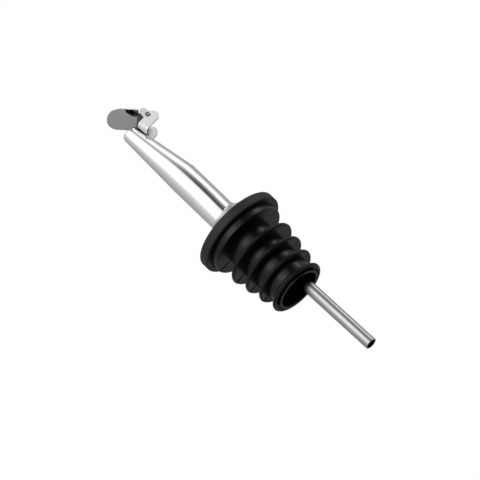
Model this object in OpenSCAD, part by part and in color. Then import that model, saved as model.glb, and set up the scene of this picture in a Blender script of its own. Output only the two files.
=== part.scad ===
/* [Stopper] */
// Diameter of the wide flange
flange_d = 30; // [28:0.5:36]
// Thickness of the flange
flange_t = 3.2; // [2.5:0.1:5]
// Radius on the flange's edges
flange_round = 0.45; // [0.2:0.05:1.2]
// Diameter of the shoulder that sits on the bottle's lip
shoulder_d = 26; // [25:0.5:27]
// Height of the shoulder
shoulder_h = 2.8; // [1.5:0.1:5]
// Radius on the shoulder's lower edge
shoulder_round = 0.35; // [0.2:0.05:1]
// Diameter of the highest rib
rib_top_d = 24.4; // [22:0.1:25]
// Diameter of the lowest rib
rib_low_d = 19.3; // [18.5:0.1:21]
// Number of ribs
rib_count = 4; // [2:1:4]
// Depth of the highest rib's lip below the seat
rib_start = 6; // [4.5:0.1:7]
// Distance from one rib to the next
rib_pitch = 5.38; // [4.5:0.02:6]
// Radius of a rib's rounded lip
rib_lip = 0.68; // [0.4:0.02:0.9]
// Height of a rib's root above its lip
rib_rise = 1.5; // [1:0.1:2]
// Rise of a rib's underside from its lip to its root
rib_under = 0.3; // [0.2:0.1:0.8]
// Diameter of the stopper's core at the seat
core_top_d = 16.2; // [15.8:0.1:18]
// Diameter of the stopper's core at its lower end
core_low_d = 15.6; // [15.2:0.1:17]
// Length of the core below the lowest rib's lip
core_tail = 1.2; // [0.8:0.1:3]
// Diameter of the hollow inside the stopper
hollow_d = 13.9; // [13.4:0.1:14.2]
// Depth of the hollow's roof below the seat
roof_depth = 1; // [0.5:0.1:3]

/* [Spout] */
// Outside diameter of the spout's straight part
spout_d = 9.8; // [9.2:0.1:10.2]
// Thickness of the spout's wall
spout_wall = 0.45; // [0.3:0.05:0.6]
// Height of the bend above the seat
bend_h = 30.3; // [24:0.1:40]
// Angle of the bend
bend_angle = 4.3; // [0:0.1:8]
// Length of the tapered part
taper_l = 23.2; // [18:0.2:30]
// Outside diameter at the tip
tip_d = 5.4; // [5:0.1:6]
// Radius of the rim that is turned in at the tip
tip_round = 0.7; // [0.7:0.05:1]
// Tilt of the mouth towards the hinge
tip_tilt = 9.5; // [5:0.5:11]
// Length of the tilted end of the spout
tip_l = 1.3; // [1.2:0.05:1.4]
// Step from the taper to the tilted end
tip_step = 0.06; // [0.05:0.01:0.1]
// Height of the lip rolled out at the spout's foot
roll_h = 0.5; // [0.4:0.05:1]
// Width of the lip rolled out at the spout's foot
roll_w = 0.7; // [0.4:0.05:0.9]
// Radius of the boss round the air outlet at the spout's foot
boss_r = 6.4; // [6:0.1:6.6]
// Offset of the boss towards the air outlet
boss_off = 1; // [0.8:0.1:1.2]
// Height of the boss above the flange, up to the end of its flare
boss_h = 8.7; // [8.4:0.1:9.2]
// Radius of the boss's hollow flare
boss_flare = 5; // [4.6:0.1:5.2]
// Depth at which the flare runs into the spout's wall
boss_in = 0.1; // [0.05:0.05:0.2]
// Thickness of the foot ring
foot_ring_t = 0.8; // [0.5:0.1:1.5]
// Gap between the foot ring and the hollow's wall
foot_ring_gap = 0.35; // [0.1:0.05:0.6]

/* [Vent tube] */
// Outside diameter of the vent tube
vent_d = 4; // [3.6:0.1:4.2]
// Thickness of the vent tube's wall
vent_wall = 0.4; // [0.25:0.05:0.5]
// Length of the vent tube below the spout's foot
vent_l = 50.3; // [40:0.1:80]
// Lean of the vent tube away from the stopper's axis
vent_lean = 1.6; // [0:0.1:2]
// Gap between the vent tube and the inside of the spout at its foot
vent_gap = 0.15; // [0.1:0.01:0.4]
// Height of the air outlet above the flange
outlet_h = 2.2; // [1.8:0.1:2.6]
// Outside diameter of the air outlet
outlet_d = 2.8; // [2.4:0.1:3]
// How far the outlet stands out of the boss
outlet_out = 0.3; // [0.2:0.1:1]
// Gap round the outlet in the spout's wall
outlet_gap = 0.1; // [0.05:0.01:0.15]

/* [Hinge] */
// Width of the bracket over its ears
bracket_w = 10.1; // [9.6:0.1:12]
// Thickness of the bracket's sheet
bracket_t = 0.6; // [0.4:0.05:0.8]
// Length of the bracket along the spout
bracket_l = 3.55; // [3:0.05:4.5]
// Distance from the spout's tip to the bracket
bracket_drop = 1.45; // [1:0.05:2]
// Outer radius of the bends between base and ears
bracket_bend = 1; // [0.9:0.05:1.2]
// How far the base reaches down beside the spout
bracket_sink = 0.68; // [0.4:0.02:1]
// Distance of the ears' round ends from the spout's axis
ear_out = 9.35; // [8.6:0.05:10]
// Distance of the pin from the spout's axis
pin_out = 6.65; // [6.4:0.05:6.9]
// Distance of the pin below the tip
pin_drop = 1.35; // [1.2:0.05:1.45]
// Diameter of the pin
pin_d = 1.4; // [1:0.05:1.6]
// Radius of the ear round the pin
pin_ear = 1.2; // [1.1:0.05:1.4]
// Width of the countersink at the pin's ends
sink_w = 0.28; // [0.1:0.02:0.35]
// Depth of the countersink at the pin's ends
sink_h = 0.3; // [0.1:0.02:0.35]

/* [Flap] */
// Angle at which the flap stands open
open_angle = 38.5; // [15:0.5:65]
// Thickness of the flap's sheet
flap_t = 0.35; // [0.3:0.05:0.6]
// Radius of the curve across the flap's sheet
flap_curve = 50; // [40:1:120]
// Width of the flap
flap_w = 12; // [11.5:0.1:13.5]
// Length of the flap from the pin to its free end
flap_l = 12.5; // [12:0.1:14]
// Length of the flap's rounded end
flap_end = 3.7; // [3.2:0.05:6]
// Distance from the pin to the wide part of the flap
flap_neck = 2.9; // [2.8:0.05:3.4]
// Gap between the pin's hole and the flap's sheet
sheet_gap = 0.25; // [0.2:0.05:0.4]
// Gap between the closed flap and the tip
lid_gap = 0.1; // [0.05:0.01:0.3]
// Gap between a cheek and an ear
cheek_gap = 0.15; // [0.1:0.01:0.3]
// Running clearance round the pin
pin_gap = 0.05; // [0.02:0.01:0.1]
// Radius of a cheek round the pin
cheek_eye = 1.3; // [1.2:0.05:1.5]
// Radius of a cheek's upper corner
cheek_round = 1.22; // [1:0.02:1.4]
// Place of a cheek's upper corner along the flap
cheek_along = 1.4; // [1.2:0.05:1.5]
// Height of a cheek's upper corner above the pin
cheek_up = 1.45; // [1.2:0.05:1.6]
// Angle at which the heels stop the flap
stop_angle = 80; // [75:1:85]
// Gap left under a heel at the stop
stop_gap = 0.15; // [0.1:0.01:0.3]
// Width of the heel
heel_w = 1.4; // [1:0.1:1.8]

/* [Hidden] */
$fn = 64;
cut = 1;
flange_top = shoulder_h + flange_t;
rib_last = rib_start + (rib_count - 1) * rib_pitch;
core_bottom = rib_last + core_tail;
spout_r = spout_d / 2;
bore_r = spout_r - spout_wall;
tip_r = tip_d / 2;
taper_slope = (spout_r - tip_r) / taper_l;
mouth_r = tip_r - tip_round;
foot_top = -roof_depth - foot_ring_t;
foot_end = foot_top - roll_h;
vent_r = vent_d / 2;
vent_x = bore_r - vent_gap - vent_r;
outlet_r = outlet_d / 2;
outlet_z = flange_top + outlet_h;
outlet_end = boss_off + boss_r + outlet_out;
boss_neck = spout_r - boss_off - boss_in;
vent_rise = outlet_z - foot_end + vent_r;
pin_r = pin_d / 2;
pin_up = taper_l - pin_drop;
ear_round = bracket_l / 2;
bracket_mid = taper_l - bracket_drop - ear_round;
bracket_tilt = atan(taper_slope);
ear_foot = [taper_r(bracket_mid), bracket_mid];
ear_reach = ear_out - ear_foot[0] - ear_round;
ear_tip = ear_foot + ear_reach * [cos(bracket_tilt), sin(bracket_tilt)];
ear_inside = bracket_w / 2 - bracket_t;
cheek_outer = ear_inside - cheek_gap;
tip_start = taper_l - tip_l;
lid_under = tip_l + (pin_drop - tip_l) * cos(tip_tilt) - pin_out * sin(tip_tilt) + lid_gap;
sheet_start = pin_r + pin_gap + sheet_gap;
tip_sink = 1.2 * tip_r * tan(tip_tilt);
base_top = taper_r(pin_up) - bracket_sink + bracket_t;
heel_l = (pin_out - base_top - stop_gap) / sin(stop_angle);
flap_sag = flap_curve - sqrt(pow(flap_curve, 2) - pow(flap_w / 2, 2));
curve_steps = 360;
end_steps = 40;
lip_steps = 16;

// Outside radius of the taper at a height above the bend
function taper_r(u) = spout_r - taper_slope * u;

// Radius of the core at a depth below the seat
function core_r(d) = (core_top_d + (core_low_d - core_top_d) * d / core_bottom) / 2;

// Lip radius of a rib, counted from the highest
function rib_r(i) = (rib_top_d + (rib_low_d - rib_top_d) * i / (rib_count - 1)) / 2;

// Disc with both rims rounded
module rounded_disc(r, z0, z1, round_low, round_top) {
    rotate_extrude() {
        translate([0, z0]) square([r - max(round_low, round_top), z1 - z0]);
        translate([0, z0 + round_low]) square([r, z1 - z0 - round_low - round_top]);
        intersection() {
            translate([r - round_low, z0 + round_low]) circle(round_low);
            square([r, z1]);
        }
        translate([r - round_top, z1 - round_top]) circle(round_top);
    }
}

// One rib: a rounded lip on a web that grows out of the core, hollow below on the lowest rib alone
module rib(i) {
    d = rib_start + i * rib_pitch;
    lip_x = rib_r(i) - rib_lip;
    under = i < rib_count - 1 ? -rib_lip : 0;
    translate([0, 0, -d]) rotate_extrude() {
        translate([lip_x, 0]) polygon([for (k = [1 : lip_steps]) let (a = 360 * k / lip_steps)
            rib_lip * [cos(a), sin(a)]]);
        polygon([[0, rib_rise], [core_r(d), rib_rise], [lip_x, rib_lip],
            [lip_x, under], [core_r(d), under + rib_under], [0, under + rib_under]]);
    }
}

module stopper() {
    color("dimgray") difference() {
        union() {
            rounded_disc(flange_d / 2, shoulder_h, flange_top, flange_round, flange_round);
            rounded_disc(shoulder_d / 2, 0, shoulder_h + flange_round, shoulder_round, shoulder_round);
            translate([0, 0, -core_bottom])
                cylinder(r1 = core_low_d / 2, r2 = core_top_d / 2, h = core_bottom);
            for (i = [0 : rib_count - 1]) rib(i);
        }
        translate([0, 0, -core_bottom - cut]) cylinder(r = hollow_d / 2, h = core_bottom + cut - roof_depth);
        translate([0, 0, -core_bottom]) cylinder(r = spout_r, h = core_bottom + flange_top + cut);
    }
}

// Half profile of the spout's end with its rim turned in, and with a collar that sinks into the taper
module tip_profile(r0, r1, l, rim) {
    intersection() {
        union() {
            polygon([[0, -tip_sink], [r0, -tip_sink], [r0, 0], [r1, l - rim], [0, l - rim]]);
            translate([0, l - 2 * rim]) square([r1 - rim, 2 * rim]);
            translate([r1 - rim, l - rim]) circle(rim);
        }
        translate([0, -tip_sink]) square([r0, l + tip_sink]);
    }
}

// Frame of the tapered part, with Z along its own axis from the bend
module at_bend() {
    translate([0, 0, bend_h]) rotate([0, -bend_angle, 0]) children();
}

// Frame of the tilted end, with Z along its own axis
module at_tip() {
    at_bend() translate([0, 0, tip_start]) rotate([0, tip_tilt, 0]) children();
}

// Solid of the spout, smaller all round by an inset
module spout_solid(inset, bottom) {
    r = spout_r - inset;
    r_top = taper_r(tip_start) - inset;
    r_tip = (r_top - tip_step) * cos(tip_tilt);
    translate([0, 0, bottom]) cylinder(r = r, h = bend_h - bottom);
    translate([0, 0, bend_h]) sphere(r);
    at_bend() cylinder(r1 = r, r2 = r_top, h = tip_start);
    at_tip() rotate_extrude() tip_profile(r_tip, tip_r - inset, tip_l - inset, tip_round - inset);
}

// Boss at the spout's foot, whose side flares out below the spout's wall
module boss() {
    translate([boss_off, 0, flange_top]) rotate_extrude() difference() {
        square([boss_r, boss_h]);
        translate([boss_neck + boss_flare, boss_h]) circle(boss_flare);
    }
}

module spout_tube() {
    color("silver") difference() {
        union() {
            spout_solid(0, foot_end);
            translate([0, 0, foot_end]) cylinder(r = spout_r + roll_w, h = roll_h);
            boss();
        }
        spout_solid(spout_wall, foot_end - cut);
        at_tip() cylinder(r = mouth_r, h = tip_l + cut);
        translate([0, 0, outlet_z]) rotate([0, 90, 0]) cylinder(r = outlet_r + outlet_gap, h = spout_d);
    }
}

module foot_ring() {
    color("lightgray") translate([0, 0, foot_top]) difference() {
        cylinder(r = hollow_d / 2 - foot_ring_gap, h = foot_ring_t);
        translate([0, 0, -cut]) cylinder(r = spout_r, h = foot_ring_t + 2 * cut);
    }
}

// Frame of the vent tube, with Z up along its own axis from the spout's foot
module at_vent() {
    translate([vent_x, 0, foot_end]) rotate([0, -vent_lean, 0]) children();
}

// Side outlet of the vent tube at one radius
module outlet(r, longer) {
    translate([vent_x, 0, outlet_z]) rotate([0, 90, 0]) cylinder(r = r, h = outlet_end - vent_x + longer);
}

module vent_tube() {
    color("gainsboro") difference() {
        union() {
            at_vent() translate([0, 0, -vent_l]) cylinder(r = vent_r, h = vent_l + vent_rise);
            outlet(outlet_r, 0);
        }
        at_vent() translate([0, 0, -vent_l - cut])
            cylinder(r = vent_r - vent_wall, h = vent_l + cut + vent_rise - vent_wall);
        outlet(outlet_r - vent_wall, cut);
    }
}

// Frame of the pin, with X out from the spout, Y along the pin and Z along the tapered part
module at_pin() {
    at_bend() translate([pin_out, 0, pin_up]) children();
}

// Flat shape in the XZ plane, given as (out, up), between two places along Y
module plate(y0, y1) {
    translate([0, y1, 0]) rotate([90, 0, 0]) linear_extrude(y1 - y0) children();
}

// Cross section of the bracket's channel: a base with two ears and rounded bends
module channel_profile() {
    r_in = bracket_bend - bracket_t;
    difference() {
        union() {
            translate([bracket_bend, -bracket_w / 2]) square([ear_out, bracket_w]);
            translate([0, -bracket_w / 2 + bracket_bend]) square([ear_out, bracket_w - 2 * bracket_bend]);
            for (s = [-1, 1])
                translate([bracket_bend, s * (bracket_w / 2 - bracket_bend)]) circle(bracket_bend);
        }
        translate([bracket_bend, -ear_inside]) square([2 * ear_out, 2 * ear_inside]);
        translate([bracket_t, -ear_inside + r_in]) square([2 * ear_out, 2 * (ear_inside - r_in)]);
        for (s = [-1, 1]) translate([bracket_bend, s * (ear_inside - r_in)]) circle(r_in);
    }
}

// Flat link between two round ends, the second one at a place
module link(r0, r1, place) {
    reach = norm(place);
    flare = asin((r0 - r1) / reach);
    circle(r0);
    translate(place) circle(r1);
    rotate(atan2(place[1], place[0])) polygon([
        r0 * [sin(flare), cos(flare)],
        r0 * [sin(flare), -cos(flare)],
        [reach, 0] + r1 * [sin(flare), -cos(flare)],
        [reach, 0] + r1 * [sin(flare), cos(flare)]
    ]);
}

// Side view of the bracket: a strap square to the taper's side, with an eye for the pin
module ear_profile() {
    translate(ear_foot) rotate(bracket_tilt) translate([-tip_r, -ear_round])
        square([tip_r + ear_reach, bracket_l]);
    translate([pin_out, pin_up]) link(pin_ear, ear_round, ear_tip - [pin_out, pin_up]);
}

module hinge_bracket() {
    color("silver") at_bend() difference() {
        intersection() {
            plate(-bracket_w, bracket_w) ear_profile();
            union() {
                translate([ear_foot[0] - bracket_sink, 0, bracket_mid]) rotate([0, -bracket_tilt, 0])
                    translate([0, 0, -2 * bracket_l]) linear_extrude(4 * bracket_l) channel_profile();
                intersection() {
                    cylinder(r1 = spout_r + bracket_t, r2 = tip_r + bracket_t, h = taper_l);
                    translate([tip_r - bracket_sink, -spout_r, 0]) cube([spout_r, spout_d, taper_l]);
                }
            }
        }
        cylinder(r1 = spout_r, r2 = tip_r, h = taper_l);
        translate([pin_out, -bracket_w, pin_up]) rotate([-90, 0, 0]) cylinder(r = pin_r, h = 2 * bracket_w);
        for (s = [-1, 1]) translate([pin_out, s * bracket_w / 2, pin_up]) rotate([s * 90, 0, 0])
            cylinder(r1 = pin_r + sink_w, r2 = pin_r, h = sink_h);
    }
}

module hinge_pin() {
    color("gray") at_pin() translate([0, -bracket_w / 2, 0]) rotate([-90, 0, 0])
        cylinder(r = pin_r, h = bracket_w);
}

// Flat outline of the flap, with its free end along +X and a half ellipse at that end
module flap_outline() {
    straight = flap_l - flap_end;
    translate([sheet_start, -cheek_outer]) square([straight - sheet_start, 2 * cheek_outer]);
    translate([flap_neck, -flap_w / 2]) square([straight - flap_neck, flap_w]);
    polygon([for (i = [0 : end_steps]) let (a = -90 + 180 * i / end_steps)
        [straight + flap_end * cos(a), flap_w / 2 * sin(a)]]);
}

// Side view of a cheek: an eye for the pin, an upper corner, and a heel below
module cheek_profile() {
    link(cheek_eye, cheek_round, [cheek_along, cheek_up]);
    translate([-heel_w / 2, -heel_l + heel_w / 2]) square([heel_w, heel_l - heel_w / 2]);
    translate([0, -heel_l + heel_w / 2]) circle(heel_w / 2);
}

// Rod along the flap about the axis of the sheet's curve
module flap_rod(r) {
    translate([-cheek_eye - cut, 0, lid_under + flap_curve]) rotate([0, 90, 0])
        cylinder(r = r, h = cheek_eye + flap_l + 2 * cut, $fn = curve_steps);
}

// Sheet of the flap, curved down towards the mouth along its middle
module flap_sheet() {
    difference() {
        intersection() {
            translate([0, 0, lid_under - cut]) linear_extrude(flap_sag + flap_t + 2 * cut) flap_outline();
            flap_rod(flap_curve);
        }
        flap_rod(flap_curve - flap_t);
    }
}

module flap_lid() {
    color("lightsteelblue") at_pin() rotate([0, tip_tilt + open_angle, 0]) mirror([1, 0, 0]) difference() {
        union() {
            flap_sheet();
            for (s = [-1, 1]) translate([0, s * (cheek_outer - flap_t / 2), 0])
                plate(-flap_t / 2, flap_t / 2) cheek_profile();
        }
        translate([0, -flap_w, 0]) rotate([-90, 0, 0]) cylinder(r = pin_r + pin_gap, h = 2 * flap_w);
    }
}

stopper();
spout_tube();
foot_ring();
vent_tube();
hinge_bracket();
hinge_pin();
flap_lid();
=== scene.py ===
import math

import bpy
from mathutils import Matrix, Vector


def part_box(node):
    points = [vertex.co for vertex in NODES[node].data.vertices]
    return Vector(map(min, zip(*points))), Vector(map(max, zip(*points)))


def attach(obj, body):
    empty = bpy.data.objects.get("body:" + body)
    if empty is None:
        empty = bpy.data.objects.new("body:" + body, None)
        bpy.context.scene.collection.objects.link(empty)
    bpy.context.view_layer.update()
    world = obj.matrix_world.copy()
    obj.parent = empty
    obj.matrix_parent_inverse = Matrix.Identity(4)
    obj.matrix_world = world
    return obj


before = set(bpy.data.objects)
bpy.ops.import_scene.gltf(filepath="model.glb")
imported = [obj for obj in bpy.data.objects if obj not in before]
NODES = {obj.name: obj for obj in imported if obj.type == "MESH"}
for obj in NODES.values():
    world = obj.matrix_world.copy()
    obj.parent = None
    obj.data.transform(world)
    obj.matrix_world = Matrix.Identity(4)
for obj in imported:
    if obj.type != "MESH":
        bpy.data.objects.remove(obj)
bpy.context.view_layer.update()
MM = 0.001
ORIGIN = Vector((0, 0, 0))
AXIS_X, AXIS_Y, AXIS_Z = Vector((1, 0, 0)), Vector((0, 1, 0)), Vector((0, 0, 1))

# Axes of the photograph's view in the row frame
VIEW_RIGHT = Vector((0.7455, -0.0331, -0.6657))
VIEW_UP = Vector((0.5492, -0.5355, 0.6417))
VIEW_BACK = Vector((-0.3777, -0.8439, -0.381))
VIEW_TARGET = Vector((-0.96, 1.84, 2.87)) * MM
# Width of the photograph's frame at the target
FRAME_WIDTH = 148.1 * MM
CAMERA_AWAY = 0.6

# Level directions towards the camera and to its right, seen along the stopper's axis
TOWARDS = Vector((VIEW_BACK.x, VIEW_BACK.y, 0)).normalized()
SIDEWAYS = Vector((-TOWARDS.y, TOWARDS.x, 0))


# Nodes

# Places of the two inputs and of the output of a Mix node, by its kind of data
MIX_SOCKETS = {"RGBA": (6, 7, 2), "VECTOR": (4, 5, 1)}
# Values of a noise between which a surface varies
NOISE_LOW, NOISE_HIGH = 0.3, 0.7


def tree_of(owner):
    """The emptied node tree of a material or a world."""
    owner.use_nodes = True
    tree = owner.node_tree
    tree.nodes.clear()
    return tree


def add(tree, kind, **values):
    """A new node with its properties set, and its inputs by names that start with in_."""
    node = tree.nodes.new(kind)
    for key, value in values.items():
        if key.startswith("in_"):
            node.inputs[key[3:].replace("_", " ")].default_value = value
        else:
            setattr(node, key, value)
    return node


def put(tree, target, value):
    """Links an input to a socket, or sets it to a plain value."""
    if isinstance(value, bpy.types.NodeSocket):
        tree.links.new(value, target)
    else:
        target.default_value = value


def grey(value):
    return (value, value, value, 1)


def place_of(tree, kind="Object"):
    """The object's own coordinates, or another kind of coordinates."""
    return add(tree, "ShaderNodeTexCoord").outputs[kind]


def part_of(tree, vector, axis):
    """One part of a vector, by the letter of its axis."""
    parts = add(tree, "ShaderNodeSeparateXYZ")
    put(tree, parts.inputs[0], vector)
    return parts.outputs[axis]


def math_of(tree, operation, *values):
    node = add(tree, "ShaderNodeMath", operation=operation)
    for target, value in zip(node.inputs, values):
        put(tree, target, value)
    return node.outputs["Value"]


def vector_of(tree, operation, *values):
    node = add(tree, "ShaderNodeVectorMath", operation=operation)
    for target, value in zip(node.inputs, values):
        put(tree, target, value)
    return node.outputs["Value" if operation in ("DOT_PRODUCT", "LENGTH") else "Vector"]


def between(tree, value, start, full, course="SMOOTHSTEP"):
    """0 to 1 as a value goes from start to full."""
    node = add(tree, "ShaderNodeMapRange", interpolation_type=course)
    node.inputs["From Min"].default_value = start
    node.inputs["From Max"].default_value = full
    put(tree, node.inputs["Value"], value)
    return node.outputs["Result"]


def mix(tree, kind, factor, first, second):
    node = add(tree, "ShaderNodeMix", data_type=kind)
    first_place, second_place, result_place = MIX_SOCKETS[kind]
    put(tree, node.inputs["Factor"], factor)
    put(tree, node.inputs[first_place], first)
    put(tree, node.inputs[second_place], second)
    return node.outputs[result_place]


def blend(tree, factor, first, second):
    """One colour socket or grey value turning to another by a factor."""
    ends = [grey(end) if isinstance(end, (int, float)) else end for end in (first, second)]
    return mix(tree, "RGBA", factor, *ends)


def ramp(tree, source, stops):
    """A colour ramp fed by a socket, from pairs of place and grey or colour."""
    node = tree.nodes.new("ShaderNodeValToRGB")
    points = node.color_ramp.elements
    while len(points) < len(stops):
        points.new(0.5)
    for point, (place, value) in zip(points, stops):
        point.position = place
        point.color = (*value, 1) if isinstance(value, tuple) else grey(value)
    put(tree, node.inputs["Fac"], source)
    return node.outputs["Color"]


def vary(tree, pattern, low, high):
    """A grey or colour that varies with a noise."""
    return ramp(tree, pattern, [(NOISE_LOW, low), (NOISE_HIGH, high)])


def noise(tree, scale, stretch=(1, 1, 1), detail=3.0, roughness=0.55):
    """Noise in the object's own metres, stretched along some axes."""
    shape = add(tree, "ShaderNodeMapping")
    shape.inputs["Scale"].default_value = stretch
    made = add(tree, "ShaderNodeTexNoise", in_Scale=scale, in_Detail=detail, in_Roughness=roughness)
    put(tree, shape.inputs["Vector"], place_of(tree))
    put(tree, made.inputs["Vector"], shape.outputs["Vector"])
    return made.outputs["Fac"]


def bump(tree, height, strength, distance, below=None):
    node = add(tree, "ShaderNodeBump", in_Strength=strength, in_Distance=distance)
    put(tree, node.inputs["Height"], height)
    if below is not None:
        put(tree, node.inputs["Normal"], below)
    return node.outputs["Normal"]


def facing(tree, axis, start, full):
    """0 to 1 as the object's own normal turns to an axis."""
    return between(tree, vector_of(tree, "DOT_PRODUCT", place_of(tree, "Normal"), axis), start, full)


def off_axis(tree, point, axis):
    """Distance of the object's own coordinates from a line."""
    away = vector_of(tree, "SUBTRACT", place_of(tree), point)
    return vector_of(tree, "LENGTH", vector_of(tree, "CROSS_PRODUCT", away, axis))


def from_line(tree, place, point, axis):
    """Direction in which a place lies from a line, square to it."""
    away = vector_of(tree, "SUBTRACT", place, point)
    along = vector_of(tree, "PROJECT", away, axis)
    return vector_of(tree, "NORMALIZE", vector_of(tree, "SUBTRACT", away, along))


def surface(name, build, **values):
    """A Principled material, whose build function links what varies over the surface."""
    material = bpy.data.materials.new(name)
    tree = tree_of(material)
    out = add(tree, "ShaderNodeOutputMaterial")
    shader = add(tree, "ShaderNodeBsdfPrincipled", **values)
    put(tree, out.inputs["Surface"], shader.outputs["BSDF"])
    build(tree, shader)
    return material


def feed(tree, shader, **sockets):
    """Links what varies to a shader's inputs, by their names."""
    for name, value in sockets.items():
        put(tree, shader.inputs[name.replace("_", " ")], value)


# Rubber

RUBBER_CLOUDS, RUBBER_GRAIN = 260, 5200
RUBBER_BLACK = (0.0012, 0.0012, 0.0013), (0.0024, 0.0024, 0.0026)
RUBBER_ROUGH = 0.2, 0.28
# Strength and depth of the bumps
GRAIN_BUMP = 0.12, 0.02 * MM
CLOUD_BUMP = 0.1, 0.1 * MM
# Radii between which the rubber turns duller, and is painted paler as painted light, at the flange's rim
RIM_FROM, RIM_FULL = 14 * MM, 14.6 * MM
RIM_PAINTED_LIGHT_GREY, RIM_ROUGH = 0.018, 0.5


def rubber_detail(tree, shader):
    """Moulded rubber with a satin skin, duller on the flange's rim, where it is also painted paler as
    painted light.
    """
    clouds = noise(tree, RUBBER_CLOUDS, detail=4.0)
    grain = noise(tree, RUBBER_GRAIN, detail=2.0)
    rim = between(tree, off_axis(tree, ORIGIN, AXIS_Z), RIM_FROM, RIM_FULL)
    feed(
        tree, shader,
        # The flange's rim is painted paler: painted light
        Base_Color=blend(tree, rim, vary(tree, clouds, *RUBBER_BLACK), RIM_PAINTED_LIGHT_GREY),
        Roughness=blend(tree, rim, vary(tree, clouds, *RUBBER_ROUGH), RIM_ROUGH),
        Normal=bump(tree, clouds, *CLOUD_BUMP, bump(tree, grain, *GRAIN_BUMP)),
    )


# Steel

# Stretch of the fine lines that drawing or brushing leaves, along the stopper's axis or the hinge pin
ALONG_AXIS = (1, 1, 0.04)
ALONG_PIN = (1, 0.04, 1)
LINES, LINES_DETAIL, LINES_ROUGHNESS = 2600, 4.0, 0.7
LINES_BUMP = 0.06, 0.01 * MM
STEEL_CLOUDS, BRACKET_CLOUDS = 120, 400
# Cosines between which a side comes to face an axis
SIDE_FROM, SIDE_FULL = 0.7, 0.9


def steel_lines(tree, stretch):
    return noise(tree, LINES, stretch=stretch, detail=LINES_DETAIL, roughness=LINES_ROUGHNESS)


# Heights between which the tube turns dark: painted shade for the vent tube's part inside the stopper's
# hollow
HOLLOW_SHADE_FROM, HOLLOW_SHADE_FULL = -26.2 * MM, -23.8 * MM
HOLLOW_SHADE_GREY = 0.04
TUBE_GREY, TUBE_ROUGH = (0.42, 0.48), (0.28, 0.36)


def tube_detail(tree, shader):
    """Drawn steel with fine lines along it, with painted shade where it is inside the stopper."""
    lines = steel_lines(tree, ALONG_AXIS)
    steel = vary(tree, noise(tree, STEEL_CLOUDS), *TUBE_GREY)
    # Painted shade on the tube above these heights
    hollow_shade = between(tree, part_of(tree, place_of(tree), "Z"), HOLLOW_SHADE_FROM, HOLLOW_SHADE_FULL)
    feed(
        tree, shader,
        Base_Color=blend(tree, hollow_shade, steel, HOLLOW_SHADE_GREY),
        Roughness=vary(tree, lines, *TUBE_ROUGH),
        Normal=bump(tree, lines, *LINES_BUMP),
    )


# Point of the spout's bend, axis of the taper above it, and the slope of the taper's wall
BEND, TAPER_AXIS = Vector((0, 0, 30.3)) * MM, Vector((-0.07498, 0, 0.99719))
TAPER_SLOPE = 0.0948
# Heights between which the turn at the bend is spread, and the share of it that is below the bend
EASE_FROM, EASE_TO = 13 * MM, 40 * MM
EASE_BELOW = 0.6
# Least share of a normal that points away from the axis on the outer wall
OUTER_FACING = 0.5


def eased_bend(tree, height):
    """Normal of the spout's outer wall, which turns from the tube's to the taper's over a length."""
    place = place_of(tree)
    tube = from_line(tree, place, BEND, AXIS_Z)
    taper = vector_of(tree, "ADD", from_line(tree, place, BEND, TAPER_AXIS), TAPER_AXIS * TAPER_SLOPE)
    below = between(tree, height, EASE_FROM, BEND.z, "LINEAR")
    above = between(tree, height, BEND.z, EASE_TO, "LINEAR")
    turned = math_of(
        tree, "ADD", math_of(tree, "MULTIPLY", below, EASE_BELOW),
        math_of(tree, "MULTIPLY", above, 1 - EASE_BELOW),
    )
    to_world = add(
        tree, "ShaderNodeVectorTransform", vector_type="NORMAL", convert_from="OBJECT", convert_to="WORLD"
    )
    eased = vector_of(tree, "NORMALIZE", mix(tree, "VECTOR", turned, tube, taper))
    put(tree, to_world.inputs["Vector"], eased)
    outward = vector_of(tree, "DOT_PRODUCT", place_of(tree, "Normal"), tube)
    on_wall = math_of(tree, "GREATER_THAN", outward, OUTER_FACING)
    in_length = math_of(
        tree, "MULTIPLY", math_of(tree, "GREATER_THAN", height, EASE_FROM),
        math_of(tree, "LESS_THAN", height, EASE_TO),
    )
    own = add(tree, "ShaderNodeNewGeometry").outputs["Normal"]
    return mix(
        tree, "VECTOR", math_of(tree, "MULTIPLY", on_wall, in_length), own, to_world.outputs["Vector"]
    )


SPOUT_GREY, SPOUT_ROUGH = (0.89, 0.93), (0.045, 0.085)
# Middle and direction of the mouth's axis, the radii between which its inside turns dull and dark as
# painted shade, and how deep
MOUTH, MOUTH_AXIS = Vector((-1.54, 0, 53.21)) * MM, Vector((0.0906, 0, 0.9959))
MOUTH_FULL, MOUTH_FROM, MOUTH_DEPTH = 2.5 * MM, 2.65 * MM, 3 * MM
MOUTH_SHADE_GREY, MOUTH_ROUGH = 0.18, 0.6
# Heights between which the polish ends at the boss round the spout's foot
BRUSHED_LOW, BRUSHED_HIGH = 10.7 * MM, 11.1 * MM
BRUSHED_GREY, BRUSHED_ROUGH = 0.52, 0.5


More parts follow.
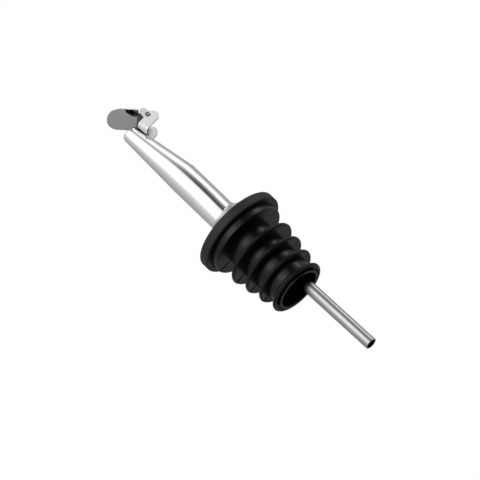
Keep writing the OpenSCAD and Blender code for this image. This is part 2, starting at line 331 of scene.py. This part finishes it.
def spout_detail(tree, shader):
    """Polished steel with faint lines, brushed at the foot, duller and with painted shade in the mouth, and
    smooth over the bend.
    """
    lines = steel_lines(tree, ALONG_AXIS)
    height = part_of(tree, place_of(tree), "Z")
    brushed = between(tree, height, BRUSHED_HIGH, BRUSHED_LOW)
    # Painted shade inside the mouth
    mouth_shade = math_of(
        tree, "MULTIPLY", between(tree, off_axis(tree, MOUTH, MOUTH_AXIS), MOUTH_FROM, MOUTH_FULL),
        between(tree, height, MOUTH.z - MOUTH_DEPTH, MOUTH.z),
    )
    steel = blend(tree, brushed, vary(tree, noise(tree, STEEL_CLOUDS), *SPOUT_GREY), BRUSHED_GREY)
    rough = blend(tree, brushed, vary(tree, lines, *SPOUT_ROUGH), BRUSHED_ROUGH)
    feed(
        tree, shader,
        Base_Color=blend(tree, mouth_shade, steel, MOUTH_SHADE_GREY),
        Roughness=blend(tree, mouth_shade, rough, MOUTH_ROUGH),
        Normal=bump(tree, lines, *LINES_BUMP, eased_bend(tree, height)),
    )


FLAP_GREY, FLAP_ROUGH = (0.75, 0.79), (0.05, 0.1)
CHEEK_GREY, CHEEK_ROUGH = 0.93, 0.6
# Way that the flap's underside faces, and places along X between which it turns dark towards the hinge
UNDERSIDE, UNDERSIDE_FROM, UNDERSIDE_FULL = (-0.69, 0, -0.72), 0.8, 0.95
SHADE_FROM, SHADE_FULL, SHADE_GREY = 2.7 * MM, 3.1 * MM, 0.19


def flap_detail(tree, shader):
    """Polished sheet with brushed cheeks, dark below at the hinge."""
    lines = steel_lines(tree, ALONG_PIN)
    cheek = math_of(
        tree, "MAXIMUM", facing(tree, -AXIS_Y, SIDE_FROM, SIDE_FULL),
        facing(tree, AXIS_Y, SIDE_FROM, SIDE_FULL),
    )
    shade = math_of(
        tree, "MULTIPLY", facing(tree, UNDERSIDE, UNDERSIDE_FROM, UNDERSIDE_FULL),
        between(tree, part_of(tree, place_of(tree), "X"), SHADE_FROM, SHADE_FULL),
    )
    sheet = blend(tree, shade, vary(tree, noise(tree, STEEL_CLOUDS), *FLAP_GREY), SHADE_GREY)
    feed(
        tree, shader,
        Base_Color=blend(tree, cheek, sheet, CHEEK_GREY),
        Roughness=blend(tree, cheek, vary(tree, lines, *FLAP_ROUGH), CHEEK_ROUGH),
        Normal=bump(tree, lines, *LINES_BUMP),
    )


BRACKET_GREY, BRACKET_ROUGH, BRACKET_METALLIC = (0.9, 0.96), (0.52, 0.64), 0.5
# The lower edges, which are painted darker as painted shade
EDGE_FROM, EDGE_FULL, EDGE_SHADE_GREY = 0.5, 0.8, 0.3
# The side towards the spout, and how far from the middle it is dark: painted shade under the base, where it
# stands off the spout
BASE_SHADE_FROM, BASE_SHADE_FULL, BASE_SHADE_GREY = 0.82, 0.94, 0.015
BASE_SHADE_EDGE, BASE_SHADE_HALF = 3.0 * MM, 2.7 * MM
# The inner face of the ear at +Y, which is painted white and not metallic, as painted light
EAR_FROM, EAR_FULL, EAR_PAINTED_LIGHT_GREY, EAR_PAINTED_LIGHT_METALLIC = 3 * MM, 4 * MM, 1.0, 0.0


def bracket_detail(tree, shader):
    """Satin plate, with painted shade on its lower edges and on the side towards the spout, and painted
    white inside one ear as painted light.
    """
    lines = steel_lines(tree, ALONG_PIN)
    across = part_of(tree, place_of(tree), "Y")
    satin = vary(tree, noise(tree, BRACKET_CLOUDS), *BRACKET_GREY)
    # Painted shade on faces that look down
    edge_shaded = blend(tree, facing(tree, -AXIS_Z, EDGE_FROM, EDGE_FULL), satin, EDGE_SHADE_GREY)
    # Painted shade on the side towards the spout, in the middle
    in_middle = between(tree, math_of(tree, "ABSOLUTE", across), BASE_SHADE_EDGE, BASE_SHADE_HALF)
    base_shaded = blend(tree, in_middle, edge_shaded, BASE_SHADE_GREY)
    steel = blend(tree, facing(tree, -AXIS_X, BASE_SHADE_FROM, BASE_SHADE_FULL), edge_shaded, base_shaded)
    # Painted light: the inner face of the ear at +Y is white and not metallic
    ear_painted_light = math_of(
        tree, "MULTIPLY", facing(tree, -AXIS_Y, SIDE_FROM, SIDE_FULL),
        between(tree, across, EAR_FROM, EAR_FULL),
    )
    feed(
        tree, shader,
        Base_Color=blend(tree, ear_painted_light, steel, EAR_PAINTED_LIGHT_GREY),
        Metallic=blend(tree, ear_painted_light, BRACKET_METALLIC, EAR_PAINTED_LIGHT_METALLIC),
        Roughness=vary(tree, lines, *BRACKET_ROUGH),
        Normal=bump(tree, lines, *LINES_BUMP),
    )


PIN_GREY, PIN_ROUGH = (0.5, 0.6), (0.35, 0.5)
# Shares of the pin's radius between which its ends turn dark, a ring of painted shade
PIN_RIM_FROM, PIN_RIM_FULL, PIN_RIM_SHADE_GREY = 0.45, 0.75, 0.26


def pin_detail(tree, shader):
    """Cut steel, with painted shade in a dark rim round a lighter middle on each end."""
    low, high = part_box("hinge_pin")
    radius = (high[0] - low[0]) / 2
    middle = ((low[0] + high[0]) / 2, 0, (low[2] + high[2]) / 2)
    # Painted shade in a ring at the outer part of each end
    rim = between(tree, off_axis(tree, middle, AXIS_Y), PIN_RIM_FROM * radius, PIN_RIM_FULL * radius)
    lines = steel_lines(tree, ALONG_PIN)
    feed(
        tree, shader,
        Base_Color=blend(tree, rim, vary(tree, lines, *PIN_GREY), PIN_RIM_SHADE_GREY),
        Roughness=vary(tree, lines, *PIN_ROUGH),
    )


RUBBER = surface("black_rubber", rubber_detail, in_Specular_IOR_Level=0.3)
SPOUT_STEEL = surface("polished_spout", spout_detail, in_Metallic=1.0)
FLAP_STEEL = surface("polished_flap", flap_detail, in_Metallic=1.0)
TUBE_STEEL = surface("drawn_tube", tube_detail, in_Metallic=1.0)
BRACKET_STEEL = surface("satin_bracket", bracket_detail)
SEAM = surface("rubber_parting_line", rubber_detail, in_Specular_IOR_Level=0.02)
PIN_STEEL = surface("pin_steel", pin_detail, in_Metallic=1.0)

DRESS = {
    "stopper": RUBBER,
    "spout_tube": SPOUT_STEEL,
    "foot_ring": TUBE_STEEL,
    "vent_tube": TUBE_STEEL,
    "hinge_bracket": BRACKET_STEEL,
    "hinge_pin": PIN_STEEL,
    "flap_lid": FLAP_STEEL,
}
for node_name, material in DRESS.items():
    mesh = NODES[node_name].data
    mesh.materials.clear()
    mesh.materials.append(material)


# Parting lines of the stopper's mould

# Half profile of the stopper below its flange, in millimetres
SHOULDER_R, SHOULDER_H, SHOULDER_ROUND = 13, 2.8, 0.35
CORE_TOP_R, CORE_LOW_R, CORE_BOTTOM = 8.1, 7.8, 23.34
RIB_START, RIB_PITCH, RIB_COUNT, RIB_LIP, RIB_RISE, RIB_UNDER = 6, 5.38, 4, 0.68, 1.5, 0.3
RIB_TOP_R, RIB_LOW_R = 12.2, 9.65
# How far the line goes on below the flange, and the step of the profile's arcs, in degrees
FLANGE_REACH = 0.6
ARC_STEP = 22.5
SHOULDER_STEPS, LIP_STEPS = 4, 8
# Angle from the plane of the hinge to the line
SEAM_TURN = Matrix.Rotation(math.radians(-26), 3, "Z")
# Section of the line: shares of its half width and of its height, with the edges sunk in the rubber
SEAM_SECTION = [(-1, None), (-0.6, 0.7), (0, 1), (0.6, 0.7), (1, None)]
SEAM_SUNK = 0.05
# Share of its height that the line keeps where the profile is upright
UPRIGHT_SHARE = 0.2


def core_r(depth):
    return CORE_TOP_R + (CORE_LOW_R - CORE_TOP_R) * depth / CORE_BOTTOM


def stopper_profile():
    """Pairs of radius and height along the stopper's outside, from the flange down."""
    path = [(SHOULDER_R + FLANGE_REACH, SHOULDER_H), (SHOULDER_R, SHOULDER_H)]
    for k in range(SHOULDER_STEPS + 1):
        a = math.radians(-ARC_STEP * k)
        path.append((SHOULDER_R - SHOULDER_ROUND * (1 - math.cos(a)), SHOULDER_ROUND * (1 + math.sin(a))))
    path.append((core_r(0), 0))
    for i in range(RIB_COUNT):
        depth = RIB_START + i * RIB_PITCH
        lip = RIB_TOP_R + (RIB_LOW_R - RIB_TOP_R) * i / (RIB_COUNT - 1) - RIB_LIP
        path.append((core_r(depth), RIB_RISE - depth))
        for k in range(LIP_STEPS + 1):
            a = math.radians(90 - ARC_STEP * k)
            path.append((lip + RIB_LIP * math.cos(a), RIB_LIP * math.sin(a) - depth))
        if i < RIB_COUNT - 1:
            path.append((core_r(depth), RIB_UNDER - RIB_LIP - depth))
    return [Vector(p) for p in path]


def make_seam(name, side, half, proud):
    """A low ridge on one side of the stopper, which follows its profile, lower where that is upright."""
    path = stopper_profile()
    count = len(SEAM_SECTION)
    verts, faces = [], []
    for k, point in enumerate(path):
        before, after = path[max(k - 1, 0)], path[min(k + 1, len(path) - 1)]
        ways = [w.normalized() for w in (point - before, after - point) if w.length > 0]
        way = sum(ways, Vector((0, 0))).normalized()
        out = Vector((-way.y, way.x))
        rise = proud * (UPRIGHT_SHARE + (1 - UPRIGHT_SHARE) * abs(way.x))
        for across, share in SEAM_SECTION:
            r, z = point + out * (-SEAM_SUNK if share is None else rise * share)
            verts.append(SEAM_TURN @ Vector((side * r, across * half, z)) * MM)
    for k in range(len(path) - 1):
        for j in range(count):
            a, b = k * count + j, k * count + (j + 1) % count
            faces.append((a, b, b + count, a + count))
    faces += [tuple(range(count)), tuple(reversed(range(len(verts) - count, len(verts))))]
    mesh = bpy.data.meshes.new(name)
    mesh.from_pydata(verts, [], faces)
    if side < 0:
        mesh.flip_normals()
    mesh.shade_smooth()
    mesh.materials.append(SEAM)
    seam = bpy.data.objects.new(name, mesh)
    bpy.context.scene.collection.objects.link(seam)
    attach(seam, "pourer")


# Camera and studio


def make_camera():
    data = bpy.data.cameras.new("camera")
    data.type = "ORTHO"
    data.ortho_scale = FRAME_WIDTH
    camera = bpy.data.objects.new("camera", data)
    bpy.context.scene.collection.objects.link(camera)
    turn = Matrix((VIEW_RIGHT, VIEW_UP, VIEW_BACK)).transposed()
    camera.matrix_world = Matrix.Translation(VIEW_TARGET + VIEW_BACK * CAMERA_AWAY) @ turn.to_4x4()
    bpy.context.scene.camera = camera


# Brightness of the studio round the stopper's axis, by angle from the camera, in degrees: white boxes
# in front and at the right, a dark gap between them that ends higher up, and grey behind
LEVEL = [
    (-180, 0.36), (-122, 0.38), (-90, 0.5), (-60, 0.7), (-53, 1.0), (-43, 1.1), (14, 1.1), (23, 0.8),
    (30, 0.08), (44, 0.09), (56, 0.26), (64, 0.46), (72, 0.79), (81, 1.0), (91, 1.0), (103, 0.68),
    (116, 0.43), (135, 0.36), (180, 0.36),
]
HIGH = [
    (-180, 0.4), (-122, 0.42), (-61, 0.75), (-52, 1.1), (24, 1.1), (37, 0.38), (46, 0.42), (57, 0.85),
    (68, 1.1), (84, 1.1), (106, 0.58), (125, 0.42), (180, 0.4),
]
# What the floor shows to the steel
BELOW = [
    (-180, 0.29), (-130, 0.32), (-90, 0.4), (-50, 0.25), (0, 0.2), (60, 0.2), (90, 0.4), (135, 0.35),
    (180, 0.29),
]
# Sines of the elevations between which the level studio turns to the high one
HIGH_FROM, HIGH_TO = 0.43, 0.53
FLOOR_HALF, FLOOR_HEIGHT, FLOOR_GREY = 6.0, -0.45, 0.85


def around(tree, vector, brightness):
    """The brightness by angle round the stopper's axis, in the direction of a vector socket."""
    angle = math_of(
        tree, "ARCTAN2", vector_of(tree, "DOT_PRODUCT", vector, SIDEWAYS),
        vector_of(tree, "DOT_PRODUCT", vector, TOWARDS),
    )
    turn = between(tree, angle, -math.pi, math.pi, "LINEAR")
    return ramp(tree, turn, [((a + 180) / 360, v) for a, v in brightness])


def pick(tree, ray, shader_no, shader_yes):
    """One shader for a kind of ray, and another for the rest."""
    rays = add(tree, "ShaderNodeLightPath")
    chosen = add(tree, "ShaderNodeMixShader")
    for target, value in zip(chosen.inputs, (rays.outputs[ray], shader_no, shader_yes)):
        put(tree, target, value)
    return chosen.outputs["Shader"]


def make_floor():
    """A wide pale floor well below the part, which hangs free of it as in the photograph."""
    mesh = bpy.data.meshes.new("floor")
    signs = ((-1, -1), (1, -1), (1, 1), (-1, 1))
    mesh.from_pydata([(x * FLOOR_HALF, y * FLOOR_HALF, FLOOR_HEIGHT) for x, y in signs], [], [(0, 1, 2, 3)])
    floor = bpy.data.objects.new("floor", mesh)
    bpy.context.scene.collection.objects.link(floor)
    material = bpy.data.materials.new("pale_floor")
    tree = tree_of(material)
    out = add(tree, "ShaderNodeOutputMaterial")
    matt = add(tree, "ShaderNodeBsdfDiffuse", in_Color=grey(FLOOR_GREY))
    white = add(tree, "ShaderNodeEmission", in_Strength=1.0)
    shown = add(tree, "ShaderNodeEmission", in_Strength=1.0)
    put(tree, shown.inputs["Color"], around(tree, place_of(tree), BELOW))
    rest = pick(tree, "Is Glossy Ray", matt.outputs["BSDF"], shown.outputs["Emission"])
    put(tree, out.inputs["Surface"], pick(tree, "Is Camera Ray", rest, white.outputs["Emission"]))
    mesh.materials.append(material)


def make_world():
    """The studio that lights the part, behind which the camera sees white."""
    world = bpy.data.worlds.new("studio")
    bpy.context.scene.world = world
    tree = tree_of(world)
    out = add(tree, "ShaderNodeOutputWorld")
    direction = place_of(tree, "Generated")
    rise = between(tree, part_of(tree, direction, "Z"), HIGH_FROM, HIGH_TO)
    seen = add(tree, "ShaderNodeBackground", in_Color=grey(1), in_Strength=1.0)
    shown = add(tree, "ShaderNodeBackground", in_Strength=1.0)
    studio = blend(tree, rise, around(tree, direction, LEVEL), around(tree, direction, HIGH))
    put(tree, shown.inputs["Color"], studio)
    picked = pick(tree, "Is Camera Ray", shown.outputs["Background"], seen.outputs["Background"])
    put(tree, out.inputs["Surface"], picked)


def make_lamp(name, towards, distance, size, power):
    """A square soft box that looks at the part from a direction."""
    data = bpy.data.lights.new(name, "AREA")
    data.size = size
    data.energy = power
    lamp = bpy.data.objects.new(name, data)
    bpy.context.scene.collection.objects.link(lamp)
    back = towards.normalized()
    lamp.rotation_mode = "QUATERNION"
    lamp.rotation_quaternion = back.to_track_quat("Z", "Y")
    lamp.location = VIEW_TARGET + back * distance


def level(azimuth, elevation):
    """Direction at an angle to the right of the camera round the stopper's axis, and above the flange."""
    a, e = math.radians(azimuth), math.radians(elevation)
    return (TOWARDS * math.cos(a) + SIDEWAYS * math.sin(a)) * math.cos(e) + AXIS_Z * math.sin(e)


make_camera()
make_seam("parting_line_left", -1, half=0.2, proud=0.2)
make_seam("parting_line_right", 1, half=0.09, proud=0.05)
make_floor()
make_world()
make_lamp("front_box", level(-13, 24), distance=0.9, size=0.5, power=1.0)
make_lamp("right_box", level(82, 24), distance=0.9, size=0.3, power=0.35)
bpy.context.scene.view_settings.view_transform = "Standard"
